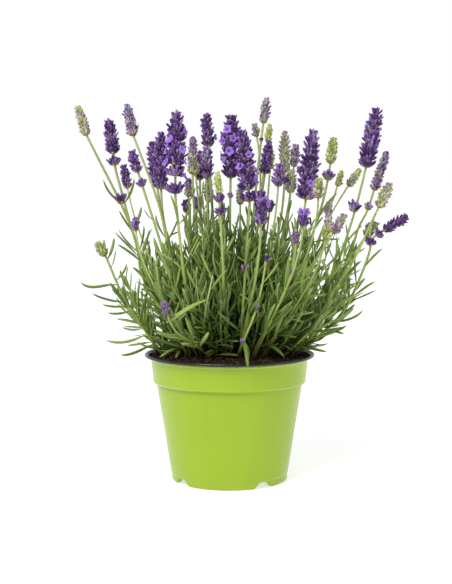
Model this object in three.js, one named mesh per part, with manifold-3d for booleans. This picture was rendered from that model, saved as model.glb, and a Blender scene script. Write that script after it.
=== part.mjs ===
// Potted lavender: a flowering lavender plant in a thin round nursery pot.
// Millimetres, +Z up. The origin is the centre of the pot's base, on the surface that it stands on.
import * as THREE from 'three';
import { mergeVertices } from 'three/addons/utils/BufferGeometryUtils.js';
import Module from 'manifold-3d';

const wasm = await Module();
wasm.setup();

// ---- driving dimensions -------------------------------------------------------------------------

const GAP = 0.3;                 // clearance between pieces that touch

const POT_HEIGHT = 112;
const RIM_RADIUS = 75;           // outside of the rolled rim
const RIM_ROLL = 1.5;            // half the rim's thickness
const COLLAR_TOP = 69.3;         // outside radius just under the rim
const COLLAR_FOOT = 67.2;        // outside radius above the step
const STEP_Z = 86.5;             // where the collar steps in to the body
const BODY_TOP = 64.4;
const BODY_FOOT = 52;
const FOOT_TOP = 6;              // the feet end here, at the raised floor
const FOOT_RADIUS = 51.3;
const FOOT_WIDTH = 5.2;
const WALL = 1.3;
const PAD_RADIUS = 25;           // flat middle of the base, level with the feet
const POT_SIDES = 40;

const NOTCH_COUNT = 4;
const NOTCH_FIRST = 35.5;        // degrees from the front, towards +X
const NOTCH_WIDE = 18;           // at the bottom of the foot
const NOTCH_NARROW = 8;          // at its top
const DRAIN_RADIUS = 3.2;
const DRAIN_REACH = 39;          // from the axis to the middle of a drain hole

const SOIL_CROWN = 110.5;        // highest soil, at the middle
const SOIL_SHOULDER = [41, 110];
const SOIL_SLOPE = [58, 107.6];
const SOIL_EDGE_Z = 106.2;       // soil beside the pot wall
const SOIL_SIDES = 30;

const STEM_RADIUS = 1.1;
const STEM_SIDES = 5;
const STEM_STEPS = 9;
const CROWN_SHARE = 0.34;        // a stem leaves the soil this share of the way out to its flower
const BULGE_SHARE = 0.6;         // and has gone this share of the way by a third of its length
const SPIKE_SIDES = 8;
const RACHIS_RADIUS = 1;         // the bare stalk between whorls of one spike

const WOOD_RADIUS = 2;
const SHOOT_RADIUS = 0.9;
const BRANCH_COUNT = 8;
const BRANCH_ROOT = 27;          // from the axis to a branch's foot
const LEAF_PAIRS = 5;
const LEAF_LENGTH = 29;
const LEAF_WIDTH = 3.4;
const LEAF_THICKNESS = 1;
const LEAF_LEAN = 42;            // degrees between a leaf and its shoot

// Each flowering stem: the tip and the base of its spike, the spike's radius, and how far below the base
// its separate lower whorls sit. Where a stem's course is known, root is where it leaves the soil and bends
// are points that it runs through. The list runs from left to right across the front.
const FLOWERS = [
  {
    tip: [-134, 12, 329], base: [-126, 9, 304], radius: 4.6, whorls: [], color: 'budding',
    root: [-44, 5], bends: [[-72, 6, 172], [-88, 8, 225]],
  },
  {
    tip: [-115, -16, 210], base: [-108, -14, 199], radius: 4.6, whorls: [], color: 'green',
    root: [-58, -8], bends: [[-92, -12, 162]],
  },
  {
    tip: [-103, -20, 315], base: [-100, -16, 287], radius: 6, whorls: [8], color: 'purple',
    root: [-41, -9], bends: [[-69, -12, 173], [-87, -14, 230]],
  },
  {
    tip: [-93, 44, 333], base: [-87, 40, 305], radius: 5, whorls: [], color: 'budding',
    root: [-34, -20], bends: [[-43, -28, 146], [-47.7, -25, 182], [-55, -4, 212], [-64, 22, 245]],
  },
  {
    tip: [-83, -34, 288], base: [-78, -30, 271], radius: 4.6, whorls: [11], color: 'purple',
    root: [-38, -14], bends: [[-54, -20, 190]],
  },
  { tip: [-71, 52, 300], base: [-66, 48, 259], radius: 6.4, whorls: [], color: 'purple' },
  { tip: [-61, 22, 307], base: [-61, 20, 257], radius: 6.4, whorls: [], color: 'purple' },
  {
    tip: [-45, -24, 322], base: [-46, -22, 277], radius: 8.2, whorls: [7, 22], color: 'purple',
    root: [-25, -16], bends: [[-37, -38, 172], [-42, -34, 210]],
  },
  { tip: [-34, 66, 305], base: [-34, 62, 271], radius: 4.6, whorls: [], color: 'budding' },
  { tip: [-28, 104, 293], base: [-28, 98, 266], radius: 5, whorls: [], color: 'purple' },
  { tip: [-21, 34, 324], base: [-19, 32, 295], radius: 5.8, whorls: [], color: 'purple' },
  { tip: [-10, -72, 270], base: [-8.9, -69.4, 252.5], radius: 4.8, whorls: [5, 15.5], color: 'green' },
  { tip: [2, 16, 322], base: [1, 14, 267], radius: 8.2, whorls: [], color: 'purple' },
  {
    tip: [11, -22, 306], base: [16, -20, 256], radius: 7.8, whorls: [8], color: 'purple',
    root: [9, -18], bends: [[11, -46, 150], [14, -48, 200]],
  },
  { tip: [25, -90, 254], base: [25, -84, 228], radius: 5.4, whorls: [], color: 'purple' },
  { tip: [34, 50, 339], base: [31, 48, 317], radius: 4.2, whorls: [], color: 'budding' },
  { tip: [35, 4, 298], base: [31, 4, 270], radius: 4.8, whorls: [], color: 'purple' },
  { tip: [50, 40, 309], base: [50, 38, 272], radius: 5.4, whorls: [], color: 'budding' },
  { tip: [59, 98, 275], base: [58, 92, 254], radius: 5.6, whorls: [], color: 'budding' },
  { tip: [72, -14, 307], base: [66, -14, 248], radius: 8.2, whorls: [], color: 'purple' },
  { tip: [94, 34, 303], base: [91, 32, 280], radius: 5.2, whorls: [], color: 'green' },
  {
    tip: [129, 6, 327], base: [120, 5, 276], radius: 7.8, whorls: [], color: 'purple',
    root: [52, 3], bends: [[89, 3, 176], [110, 4, 236]],
  },
  {
    tip: [144, 50, 291], base: [132, 44, 256], radius: 4.6, whorls: [17], color: 'purple',
    root: [50, 20], bends: [[104, 30, 185], [119, 38, 226]],
  },
  {
    tip: [136, -34, 261], base: [127, -31, 241], radius: 5, whorls: [], color: 'budding',
    root: [54, -14], bends: [[104, -22, 190]],
  },
  {
    tip: [154, -14, 233], base: [134.5, -12, 220.5], radius: 4.6, whorls: [6], color: 'purple',
    root: [57, -6], bends: [[97, -8, 146], [111, -9, 172], [120, -10.5, 196]],
  },
];

// ---- materials ----------------------------------------------------------------------------------

const paint = (color, roughness) => new THREE.MeshStandardMaterial({ color, roughness, metalness: 0 });
const MATERIALS = {
  pot: paint(0xa9c63c, 0.42),
  soil: paint(0x3a2416, 0.95),
  stem: paint(0x86a35a, 0.7),
  leaf: paint(0x6d8a55, 0.75),
  purple: paint(0x4b2f80, 0.8),
  budding: paint(0x8a7aa0, 0.8),
  green: paint(0xa8b85c, 0.8),
};

// ---- helpers ------------------------------------------------------------------------------------

const vec = (p) => new THREE.Vector3(...p);
const point = (x, y) => new THREE.Vector2(x, y);
const radians = THREE.MathUtils.degToRad;
const numbered = (name, index) => `${name}_${String(index + 1).padStart(2, '0')}`;

// Only positions, with shared vertices merged, so that the faces close up.
function closed(geometry) {
  const bare = geometry.clone();
  bare.deleteAttribute('normal');
  bare.deleteAttribute('uv');
  return mergeVertices(bare, 1e-4);
}

function toManifold(geometry) {
  const shape = closed(geometry);
  const vertProperties = Float32Array.from(shape.attributes.position.array);
  const triVerts = Uint32Array.from(shape.index.array);
  return new wasm.Manifold(new wasm.Mesh({ numProp: 3, vertProperties, triVerts }));
}

function fromManifold(solid) {
  const mesh = solid.getMesh();
  const geometry = new THREE.BufferGeometry();
  geometry.setAttribute('position', new THREE.BufferAttribute(mesh.vertProperties, 3));
  geometry.setIndex(new THREE.BufferAttribute(mesh.triVerts, 1));
  return geometry;
}

// Points on an arc, from one angle to another in degrees.
function arc(x, y, radius, from, to, steps) {
  const points = [];
  for (let i = 0; i <= steps; i += 1) {
    const angle = radians(from + ((to - from) * i) / steps);
    points.push(point(x + radius * Math.cos(angle), y + radius * Math.sin(angle)));
  }
  return points;
}

// A lathe's own axis is Y: this turns it to +Z.
function turned(profile, sides) {
  return new THREE.LatheGeometry(profile, sides).rotateX(Math.PI / 2);
}

function regularPolygon(radius, sides) {
  return new THREE.Shape(arc(0, 0, radius, 0, 360 - 360 / sides, sides - 1));
}

function tube(curve, radius, sides, steps) {
  const options = { steps, extrudePath: curve, bevelEnabled: false };
  return new THREE.ExtrudeGeometry(regularPolygon(radius, sides), options);
}

// ---- room taken by the stems and leaves, so that none grows through another ------------------------

const taken = [];

function samplesOf(curve, radius, steps) {
  return curve.getSpacedPoints(steps).map((at) => ({ at, radius }));
}

function isFree(samples, owner) {
  return samples.every((s) => taken.every(
    (t) => t.owner === owner || s.at.distanceTo(t.at) > s.radius + t.radius + GAP,
  ));
}

function take(samples, owner) {
  samples.forEach((s) => taken.push({ ...s, owner }));
}

// ---- pot ----------------------------------------------------------------------------------------

const LIP_X = RIM_RADIUS - RIM_ROLL;
const LIP_Z = POT_HEIGHT - RIM_ROLL;

function potProfile() {
  const footIn = FOOT_RADIUS - FOOT_WIDTH;
  const footRound = 1.8;
  return [
    point(0, 0),
    point(PAD_RADIUS, 0),
    point(PAD_RADIUS + 1.5, FOOT_TOP),
    point(footIn, FOOT_TOP),
    ...arc(footIn + footRound, footRound, footRound, 180, 270, 2),
    ...arc(FOOT_RADIUS - footRound, footRound, footRound, 270, 360, 2),
    point(FOOT_RADIUS + 0.2, FOOT_TOP),
    point(BODY_FOOT, FOOT_TOP + 0.7),
    point(BODY_TOP, STEP_Z - 2.6),
    point(COLLAR_FOOT - 0.4, STEP_Z - 1.2),
    point(COLLAR_FOOT, STEP_Z),
    point(COLLAR_TOP, POT_HEIGHT - 2 * RIM_ROLL - 1.2),
    ...arc(LIP_X, LIP_Z, RIM_ROLL, 270, 450, 6),
    point(COLLAR_TOP + 0.6, POT_HEIGHT),
    point(COLLAR_TOP - WALL, POT_HEIGHT - 2),
    point(COLLAR_FOOT - WALL, STEP_Z),
    point(BODY_TOP - WALL, STEP_Z - 2.6),
    point(BODY_FOOT - WALL, FOOT_TOP + WALL),
    point(PAD_RADIUS - WALL + 1.5, FOOT_TOP + WALL),
    point(PAD_RADIUS - WALL, WALL),
    point(0, WALL),
  ];
}

// One notch through the foot: a trapezium across, cut through from inside to outside.
function footNotch(angle) {
  const shape = new THREE.Shape([
    point(-NOTCH_WIDE / 2, -1),
    point(NOTCH_WIDE / 2, -1),
    point(NOTCH_NARROW / 2, FOOT_TOP - 0.6),
    point(-NOTCH_NARROW / 2, FOOT_TOP - 0.6),
  ]);
  const depth = FOOT_WIDTH + 6;
  const cutter = new THREE.ExtrudeGeometry(shape, { depth, bevelEnabled: false });
  cutter.rotateX(Math.PI / 2);
  cutter.translate(0, -(FOOT_RADIUS - FOOT_WIDTH - 3), 0);
  return cutter.rotateZ(radians(angle));
}

function drainHole(angle) {
  const hole = new THREE.CylinderGeometry(DRAIN_RADIUS, DRAIN_RADIUS, 8, 12).rotateX(Math.PI / 2);
  hole.translate(0, -DRAIN_REACH, FOOT_TOP + WALL / 2);
  return hole.rotateZ(radians(angle));
}

function potGeometry() {
  let pot = toManifold(turned(potProfile(), POT_SIDES));
  for (let i = 0; i < NOTCH_COUNT; i += 1) {
    const angle = NOTCH_FIRST + (i * 360) / NOTCH_COUNT;
    pot = pot.subtract(toManifold(footNotch(angle)));
    pot = pot.subtract(toManifold(drainHole(angle)));
  }
  return fromManifold(pot);
}

// ---- soil ---------------------------------------------------------------------------------------

function soilGeometry() {
  const inside = (radius) => radius - WALL - GAP - 0.2;
  const collar = (SOIL_EDGE_Z - STEP_Z) / (POT_HEIGHT - STEP_Z);
  const edge = THREE.MathUtils.lerp(COLLAR_FOOT, COLLAR_TOP, collar);
  const floor = FOOT_TOP + WALL + GAP;
  return turned([
    point(0, WALL + GAP),
    point(PAD_RADIUS - WALL - GAP, WALL + GAP),
    point(PAD_RADIUS - WALL + 1.2, floor),
    point(inside(BODY_FOOT), floor),
    point(inside(BODY_TOP), STEP_Z - 2.6),
    point(inside(COLLAR_FOOT), STEP_Z + 0.3),
    point(inside(edge), SOIL_EDGE_Z),
    point(...SOIL_SLOPE),
    point(...SOIL_SHOULDER),
    point(0, SOIL_CROWN),
  ], SOIL_SIDES);
}

// Height of the soil at a distance from the axis, on the planted middle.
function soilTop(radius) {
  const [inner, outer] = radius < SOIL_SHOULDER[0]
    ? [[0, SOIL_CROWN], SOIL_SHOULDER]
    : [SOIL_SHOULDER, SOIL_SLOPE];
  return THREE.MathUtils.mapLinear(radius, inner[0], outer[0], inner[1], outer[1]);
}

// ---- flowering stems ----------------------------------------------------------------------------

// From the tip down: a rounded cone of packed whorls, then each separate whorl on the bare stalk.
function spikeProfile(length, radius, whorls) {
  const body = [[1, 0.35], [0.9, 0.9], [0.62, 1], [0.28, 0.82], [0.07, 0.45], [0, 0]];
  const lowest = whorls.length ? whorls[whorls.length - 1] + 4 : 0;
  const profile = [point(0, -length - lowest)];
  if (whorls.length === 0) {
    profile.push(...body.map(([share, width]) => point(radius * width, -length * share)));
    return profile;
  }
  profile.push(point(RACHIS_RADIUS, -length - lowest));
  [...whorls].reverse().forEach((below) => {
    profile.push(point(0.55 * radius, -length - below - 2.5));
    profile.push(point(0.95 * radius, -length - below + 1));
    profile.push(point(RACHIS_RADIUS, -length - below + 3));
  });
  profile.push(...body.map(([share, width]) => point(radius * width, -length * share)));
  return profile;
}

// A stem runs through its bends if it has any, and otherwise swings out in one sweep.
function stemCurve(foot, top, upward, bends) {
  if (bends) {
    return new THREE.CatmullRomCurve3([foot, ...bends.map(vec), top]);
  }
  const reach = foot.distanceTo(top);
  const low = new THREE.Vector3(top.x * BULGE_SHARE, top.y * BULGE_SHARE, foot.z + reach / 3);
  const high = top.clone().addScaledVector(upward, -reach / 3);
  return new THREE.CubicBezierCurve3(foot, low, high, top);
}

const plant = new THREE.Group();

function addPiece(name, geometry, material) {
  const piece = new THREE.Mesh(closed(geometry), material);
  piece.name = name;
  plant.add(piece);
  return piece;
}

function addFlower({ tip, base, radius, whorls, color, root, bends }, index) {
  const top = vec(tip);
  const upward = top.clone().sub(vec(base)).normalize();
  const length = top.distanceTo(vec(base));
  const spike = turned(spikeProfile(length, radius, whorls), SPIKE_SIDES);
  const piece = addPiece(numbered('flower_spike', index), spike, MATERIALS[color]);
  piece.position.copy(top);
  piece.quaternion.setFromUnitVectors(new THREE.Vector3(0, 0, 1), upward);

  const lowest = whorls.length ? whorls[whorls.length - 1] + 4 : 0;
  const neck = top.clone().addScaledVector(upward, -length - lowest - GAP);
  const crook = bends ? neck.clone().sub(vec(bends.at(-1))).angleTo(upward) : 0;
  neck.addScaledVector(upward, -STEM_RADIUS * Math.sin(crook));
  const [footX, footY] = root ?? [neck.x * CROWN_SHARE, neck.y * CROWN_SHARE];
  const foot = new THREE.Vector3(footX, footY, 0);
  foot.z = soilTop(foot.length()) + STEM_RADIUS;
  const curve = stemCurve(foot, neck, upward, bends);
  const stem = tube(curve, STEM_RADIUS, STEM_SIDES, STEM_STEPS);
  addPiece(numbered('flower_stem', index), stem, MATERIALS.stem);
  take(samplesOf(curve, STEM_RADIUS, 90), 'flower');
  take(samplesOf(new THREE.LineCurve3(neck, top), radius, 20), 'flower');
}

// ---- leafy branches -----------------------------------------------------------------------------

// A narrow blade, widest before the middle, that curves over towards its tip.
function leafGeometry(length) {
  const half = LEAF_WIDTH / 2;
  const outline = [point(0, 0), point(half, 0.45 * length), point(0, length)];
  const leaf = new THREE.LatheGeometry(outline, 4);
  leaf.scale(1, 1, LEAF_THICKNESS / LEAF_WIDTH);
  const at = leaf.attributes.position;
  for (let i = 0; i < at.count; i += 1) {
    at.setZ(i, at.getZ(i) - 0.12 * length * (at.getY(i) / length) ** 2);
  }
  return leaf;
}

// Opposite pairs up a shoot, each pair turned a quarter from the one below it.
function addLeaves(solids, curve, owner) {
  for (let pair = 0; pair < LEAF_PAIRS; pair += 1) {
    const along = 0.22 + (0.74 * pair) / (LEAF_PAIRS - 1);
    const length = LEAF_LENGTH * (1 - 0.45 * along ** 2);
    const axis = curve.getTangentAt(along);
    const side = new THREE.Vector3(-axis.y, axis.x, 0).normalize();
    for (const turn of [0, Math.PI]) {
      const out = side.clone().applyAxisAngle(axis, turn + (pair * Math.PI) / 2);
      const lean = radians(LEAF_LEAN);
      const way = axis.clone().multiplyScalar(Math.cos(lean)).addScaledVector(out, Math.sin(lean));
      const start = curve.getPointAt(along);
      const end = start.clone().addScaledVector(way, length);
      const room = samplesOf(new THREE.LineCurve3(start, end), LEAF_WIDTH / 2 + 0.4, 12).slice(1);
      if (isFree(room, owner)) {
        take(room, owner);
        const upper = out.clone().cross(axis).cross(way).negate().normalize();
        const across = way.clone().cross(upper);
        const pose = new THREE.Matrix4().makeBasis(across, way, upper).setPosition(start);
        solids.push(toManifold(leafGeometry(length).applyMatrix4(pose)));
      }
    }
  }
}

// The first curve that nothing is in the way of, out of a few turned a little to either side.
function clearCurve(makeCurve, angle, radius, owner) {
  return [0, 4, -4, 8, -8, 12, -12, 16, -16]
    .map((turn) => makeCurve(radians(angle + turn)))
    .find((curve) => isFree(samplesOf(curve, radius + 0.2, 60), owner));
}

function outwards(way, reach, height) {
  return new THREE.Vector3(reach * Math.sin(way), -reach * Math.cos(way), height);
}

function woodCurve(way) {
  const foot = outwards(way, BRANCH_ROOT, soilTop(BRANCH_ROOT) + WOOD_RADIUS);
  return new THREE.LineCurve3(foot, outwards(way, BRANCH_ROOT + 4, foot.z + 11));
}

function shootCurve(from, way, reach, height) {
  const rise = (height - from.z) / 3;
  const low = outwards(way, 0.62 * reach, from.z + rise);
  const high = outwards(way, 0.88 * reach, height - rise);
  return new THREE.CubicBezierCurve3(from, low, high, outwards(way, reach, height));
}

function addBranch(index) {
  const name = numbered('leafy_branch', index);
  const angle = 22 + (index * 360) / BRANCH_COUNT;
  const wood = clearCurve(woodCurve, angle, WOOD_RADIUS, name);
  take(samplesOf(wood, WOOD_RADIUS, 12), name);
  const solids = [toManifold(tube(wood, WOOD_RADIUS, 6, 1))];
  const fork = wood.getPoint(0.9);
  for (const [aside, reach, height] of [[-14, 88, 196], [0, 70, 226], [14, 104, 170]]) {
    const makeCurve = (way) => shootCurve(fork, way, reach, height);
    const curve = clearCurve(makeCurve, angle + aside, SHOOT_RADIUS, name);
    if (curve) {
      take(samplesOf(curve, SHOOT_RADIUS, 60), name);
      solids.push(toManifold(tube(curve, SHOOT_RADIUS, 4, 7)));
      addLeaves(solids, curve, name);
    }
  }
  const joined = solids.reduce((whole, next) => whole.add(next));
  addPiece(name, fromManifold(joined), MATERIALS.leaf);
}

// ---- the whole plant ----------------------------------------------------------------------------

addPiece('pot', potGeometry(), MATERIALS.pot);
addPiece('potting_soil', soilGeometry(), MATERIALS.soil);
FLOWERS.forEach(addFlower);
for (let i = 0; i < BRANCH_COUNT; i += 1) {
  addBranch(i);
}

export default plant;
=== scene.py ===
# Potted lavender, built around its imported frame. Lengths are in millimetres until a mesh is made.
import math
import random
from functools import lru_cache
from math import cos, pi, sin

import bpy
import numpy as np
from numpy.linalg import norm
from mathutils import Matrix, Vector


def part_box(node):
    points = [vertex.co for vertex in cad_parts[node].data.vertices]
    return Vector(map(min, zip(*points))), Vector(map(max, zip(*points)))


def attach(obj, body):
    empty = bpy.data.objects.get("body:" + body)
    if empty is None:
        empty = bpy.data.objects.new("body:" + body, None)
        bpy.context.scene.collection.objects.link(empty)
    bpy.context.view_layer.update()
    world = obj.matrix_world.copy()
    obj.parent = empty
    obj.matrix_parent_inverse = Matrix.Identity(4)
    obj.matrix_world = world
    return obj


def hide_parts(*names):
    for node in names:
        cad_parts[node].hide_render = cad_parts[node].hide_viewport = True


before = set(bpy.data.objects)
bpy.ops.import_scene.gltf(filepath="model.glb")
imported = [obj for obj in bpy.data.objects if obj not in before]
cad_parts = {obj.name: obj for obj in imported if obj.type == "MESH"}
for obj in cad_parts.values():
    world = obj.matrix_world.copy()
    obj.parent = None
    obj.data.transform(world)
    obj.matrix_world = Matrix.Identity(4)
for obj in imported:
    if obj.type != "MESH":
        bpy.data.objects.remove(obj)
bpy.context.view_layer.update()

MM = 0.001
FLOOR_GLOW = 0.6, 0.86          # under the pot and 2 m away, so that no edge shows behind it
TINTS = 16                      # strips of the colour map: every leaf or calyx takes its tint from one
UV_NAME = "OFBake"
COLLAR_EDGE = 86.4              # where the pot's collar steps in to its body
# Painted highlight lines round the pot, where its rounded edges would catch the light, as (height, half
# width, strength at the front, strength at the sides).
POT_HIGHLIGHT_LINES = ((COLLAR_EDGE + 1.2, 0.6, 0.05, 0.5), (107.7, 0.8, 0.55, 0.75), (6.9, 0.5, 0.12, 0.4))
POT_MIDWAY = 66                 # the pot's radius at the collar: there the side strengths hold
COLLAR_SHADE = 9                # how far the shade under the collar reaches down
UP = np.array([0.0, 0.0, 1.0])
FRONT = np.array([0.0, -1.0, 0.0])

POT_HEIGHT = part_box("pot")[1][2] / MM
RIM_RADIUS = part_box("pot")[1][0] / MM
SOIL_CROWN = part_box("potting_soil")[1][2] / MM

rng = random.Random(1753)
draw = rng.uniform


# ---- small vector and curve tools ----

def unit(v):
    v = np.asarray(v, float)
    return v / max(norm(v), 1e-9)


def any_across(way):
    """A unit vector square to way."""
    helper = UP if abs(way[2]) < 0.9 else np.array([1.0, 0.0, 0.0])
    return unit(np.cross(helper, way))


def turned(v, axis, angle):
    """v turned by angle about a unit axis."""
    c, s = cos(angle), sin(angle)
    return v * c + np.cross(axis, v) * s + axis * np.dot(axis, v) * (1 - c)


def bezier(a, b, c, d, count):
    t = np.linspace(0, 1, count)[:, None]
    a, b, c, d = (np.asarray(p, float) for p in (a, b, c, d))
    return (1 - t) ** 3 * a + 3 * (1 - t) ** 2 * t * b + 3 * (1 - t) * t ** 2 * c + t ** 3 * d


def through(points, count):
    """A smooth curve of count points through the given ones."""
    points = np.asarray(points, float)
    known = np.concatenate([[0], np.cumsum(norm(np.diff(points, axis=0), axis=1))])
    slopes = np.gradient(points, known, axis=0)
    out = []
    for s in np.linspace(0, known[-1], count):
        i = min(max(np.searchsorted(known, s) - 1, 0), len(points) - 2)
        h = known[i + 1] - known[i]
        t = (s - known[i]) / h
        out.append((2 * t**3 - 3 * t**2 + 1) * points[i] + (t**3 - 2 * t**2 + t) * h * slopes[i]
                   + (3 * t**2 - 2 * t**3) * points[i + 1] + (t**3 - t**2) * h * slopes[i + 1])
    return np.array(out)


def at_share(path, share):
    """The point and the direction at a share of a path's points."""
    place = share * (len(path) - 1)
    i = min(int(place), len(path) - 2)
    step = path[i + 1] - path[i]
    return path[i] + step * (place - i), unit(step)


def at_height(path, height):
    """The point and the direction of a rising path at that height."""
    return at_share(path, float(np.interp(height, path[:, 2], np.linspace(0, 1, len(path)))))


def even_angles(count):
    return np.arange(count) * 2 * pi / count


def circle(radius, angles, height):
    return np.stack([radius * np.cos(angles), radius * np.sin(angles), 0 * angles + height], axis=1)


def level(turn):
    """A level unit vector, turned from the front towards +X."""
    return np.array([sin(turn), -cos(turn), 0.0])


def jitter(most):
    return draw(-most, most)


def smooth(x, low, high):
    t = np.clip((x - low) / (high - low), 0, 1)
    return t * t * (3 - 2 * t)


# ---- meshes made of rings ----

@lru_cache(maxsize=None)
def ring_faces(rings, around):
    """Faces and corner (u, v) of a closed skin: u runs from ring to ring, v runs round each ring."""
    faces, corners = [], []
    for i in range(rings - 1):
        for j in range(around):
            a, b = i * around + j, i * around + (j + 1) % around
            faces.append((a, b, b + around, a + around))
            u0, u1 = i / (rings - 1), (i + 1) / (rings - 1)
            v0, v1 = j / around, (j + 1) / around
            corners += [(u0, v0), (u0, v1), (u1, v1), (u1, v0)]
    last = (rings - 1) * around
    for start, order, u in ((0, range(around - 1, -1, -1), 0.01), (last, range(around), 0.99)):
        faces.append(tuple(start + j for j in order))
        turn = [2 * pi * j / around for j in order]
        corners += [(u + 0.01 * cos(a), 0.5 + 0.4 * sin(a)) for a in turn]
    return faces, np.array(corners)


class Patch:
    """Gathers many small closed skins into one mesh."""

    def __init__(self):
        self.points, self.loops, self.sizes, self.uvs = [], [], [], []
        self.count = 0

    def add(self, rings, tint=0.5):
        rings = np.asarray(rings, float)
        faces, corners = ring_faces(*rings.shape[:2])
        self.points.append(rings.reshape(-1, 3))
        self.loops += [self.count + i for face in faces for i in face]
        self.sizes += [len(face) for face in faces]
        strip = min(max(int(tint * TINTS), 0), TINTS - 1)
        u = 0.01 + 0.98 * corners[:, 0]
        v = (strip + 0.05 + 0.9 * corners[:, 1]) / TINTS
        self.uvs.append(np.stack([u, v], axis=1))
        self.count += rings.shape[0] * rings.shape[1]

    def build(self, name, material, slot, nodes=()):
        mesh = bpy.data.meshes.new(name)
        mesh.vertices.add(self.count)
        mesh.vertices.foreach_set("co", (np.concatenate(self.points) * MM).ravel())
        mesh.loops.add(len(self.loops))
        mesh.loops.foreach_set("vertex_index", self.loops)
        mesh.polygons.add(len(self.sizes))
        mesh.polygons.foreach_set("loop_start", np.concatenate([[0], np.cumsum(self.sizes)[:-1]]))
        mesh.uv_layers.new(name=UV_NAME).data.foreach_set("uv", np.concatenate(self.uvs).ravel())
        mesh.update(calc_edges=True)
        mesh.validate()
        add_piece(name, mesh, [material], nodes)


def new_object(name, data):
    made = bpy.data.objects.new(name, data)
    bpy.context.scene.collection.objects.link(made)
    return made


def add_piece(name, mesh, materials, nodes=()):
    mesh.polygons.foreach_set("use_smooth", [True] * len(mesh.polygons))
    for material in materials:
        mesh.materials.append(material)
    piece = new_object(name, mesh)
    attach(piece, "root")
    if nodes:
        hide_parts(*nodes)


def tube_rings(path, radii, around=8, squareness=0.0):
    """Rings round a path, each square to it, without twist from one to the next."""
    path = np.asarray(path, float)
    ways = np.gradient(path, axis=0)
    across = any_across(unit(ways[0]))
    angles = even_angles(around)
    shape = 1 + squareness * np.cos(4 * angles)
    rings = []
    for centre, way, radius in zip(path, ways, radii):
        way = unit(way)
        across = unit(across - way * np.dot(across, way))
        other = np.cross(way, across)
        rings.append(centre + radius * shape[:, None] * (
            np.cos(angles)[:, None] * across + np.sin(angles)[:, None] * other))
    return rings


# ---- materials ----

class Finish:
    """A procedural material, with short names for the nodes that it is made of."""

    def __init__(self, name, **constants):
        self.material = bpy.data.materials.new(name)
        self.material.use_nodes = True
        self.tree = self.material.node_tree
        self.shader = self.tree.nodes["Principled BSDF"]
        for socket, value in constants.items():
            self.shader.inputs[socket.replace("_", " ")].default_value = value

    def node(self, kind, **inputs):
        made = self.tree.nodes.new(kind)
        for key, value in inputs.items():
            self.feed(made.inputs[key.replace("_", " ")], value)
        return made

    def feed(self, socket, value):
        if isinstance(value, bpy.types.NodeSocket):
            self.tree.links.new(value, socket)
        else:
            socket.default_value = value

    def math(self, operation, a, b=0.0):
        made = self.tree.nodes.new("ShaderNodeMath")
        made.operation = operation
        self.feed(made.inputs[0], a)
        self.feed(made.inputs[1], b)
        return made.outputs[0]

    def times(self, a, b):
        return self.math("MULTIPLY", a, b)

    def minus(self, a, b):
        return self.math("SUBTRACT", a, b)

    def position(self):
        return self.node("ShaderNodeTexCoord").outputs["Object"]

    def mapped(self, grains_along, grains_around):
        """How far along a leaf or calyx, how far round it, its tint, and a noise, each from 0 to 1.

        All four are laid on the piece's own map, so that they are the same on the finished model's map.
        """
        made = self.tree.nodes.new("ShaderNodeUVMap")
        made.uv_map = UV_NAME
        parts = self.node("ShaderNodeSeparateXYZ", Vector=made.outputs[0])
        along = parts.outputs[0]
        scaled = self.times(parts.outputs[1], TINTS)
        strip = self.math("FLOOR", scaled)
        around = self.minus(scaled, strip)
        tint = self.math("DIVIDE", strip, TINTS - 1)
        spot = self.vector(self.times(along, grains_along), self.times(around, grains_around), 0.0)
        return along, around, tint, self.noise(spot, 1.0, 3.0)

    def vector(self, x, y, z):
        return self.node("ShaderNodeCombineXYZ", X=x, Y=y, Z=z).outputs[0]

    def noise(self, vector, scale, detail, roughness=0.5):
        made = self.node("ShaderNodeTexNoise", Vector=vector, Scale=scale, Detail=detail,
                         Roughness=roughness)
        return made.outputs["Fac"]

    def ramp(self, factor, *stops):
        """A colour ramp with stops as (place, red, green, blue)."""
        made = self.tree.nodes.new("ShaderNodeValToRGB")
        self.feed(made.inputs[0], factor)
        elements = made.color_ramp.elements
        while len(elements) < len(stops):
            elements.new(1.0)
        for element, (spot, *color) in zip(elements, stops):
            element.position = spot
            element.color = (*color, 1.0)
        return made.outputs[0]

    def mix(self, factor, a, b, blend="MIX"):
        made = self.tree.nodes.new("ShaderNodeMix")
        made.data_type = "RGBA"
        made.blend_type = blend
        self.feed(made.inputs["Factor"], factor)
        sockets = [s for s in made.inputs if s.type == "RGBA"]
        for socket, value in zip(sockets, (a, b)):
            self.feed(socket, (*value, 1.0) if isinstance(value, tuple) else value)
        return next(s for s in made.outputs if s.type == "RGBA")

    def mottled(self, amount, color, factor, *stops):
        return self.mix(amount, color, self.ramp(factor, *stops), "MULTIPLY")

    def range(self, value, low, high):
        made = self.tree.nodes.new("ShaderNodeMapRange")
        self.feed(made.inputs["Value"], value)
        made.inputs["To Min"].default_value = low
        made.inputs["To Max"].default_value = high
        return made.outputs[0]

    def finish(self, color, roughness, height=None, depth_mm=0.1):
        self.feed(self.shader.inputs["Base Color"], color)
        self.feed(self.shader.inputs["Roughness"], roughness)
        if height is not None:
            bump = self.node("ShaderNodeBump", Height=height)
            bump.inputs["Distance"].default_value = depth_mm * MM
            bump.inputs["Strength"].default_value = 1.0
            self.tree.links.new(bump.outputs[0], self.shader.inputs["Normal"])
        return self.material


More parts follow.
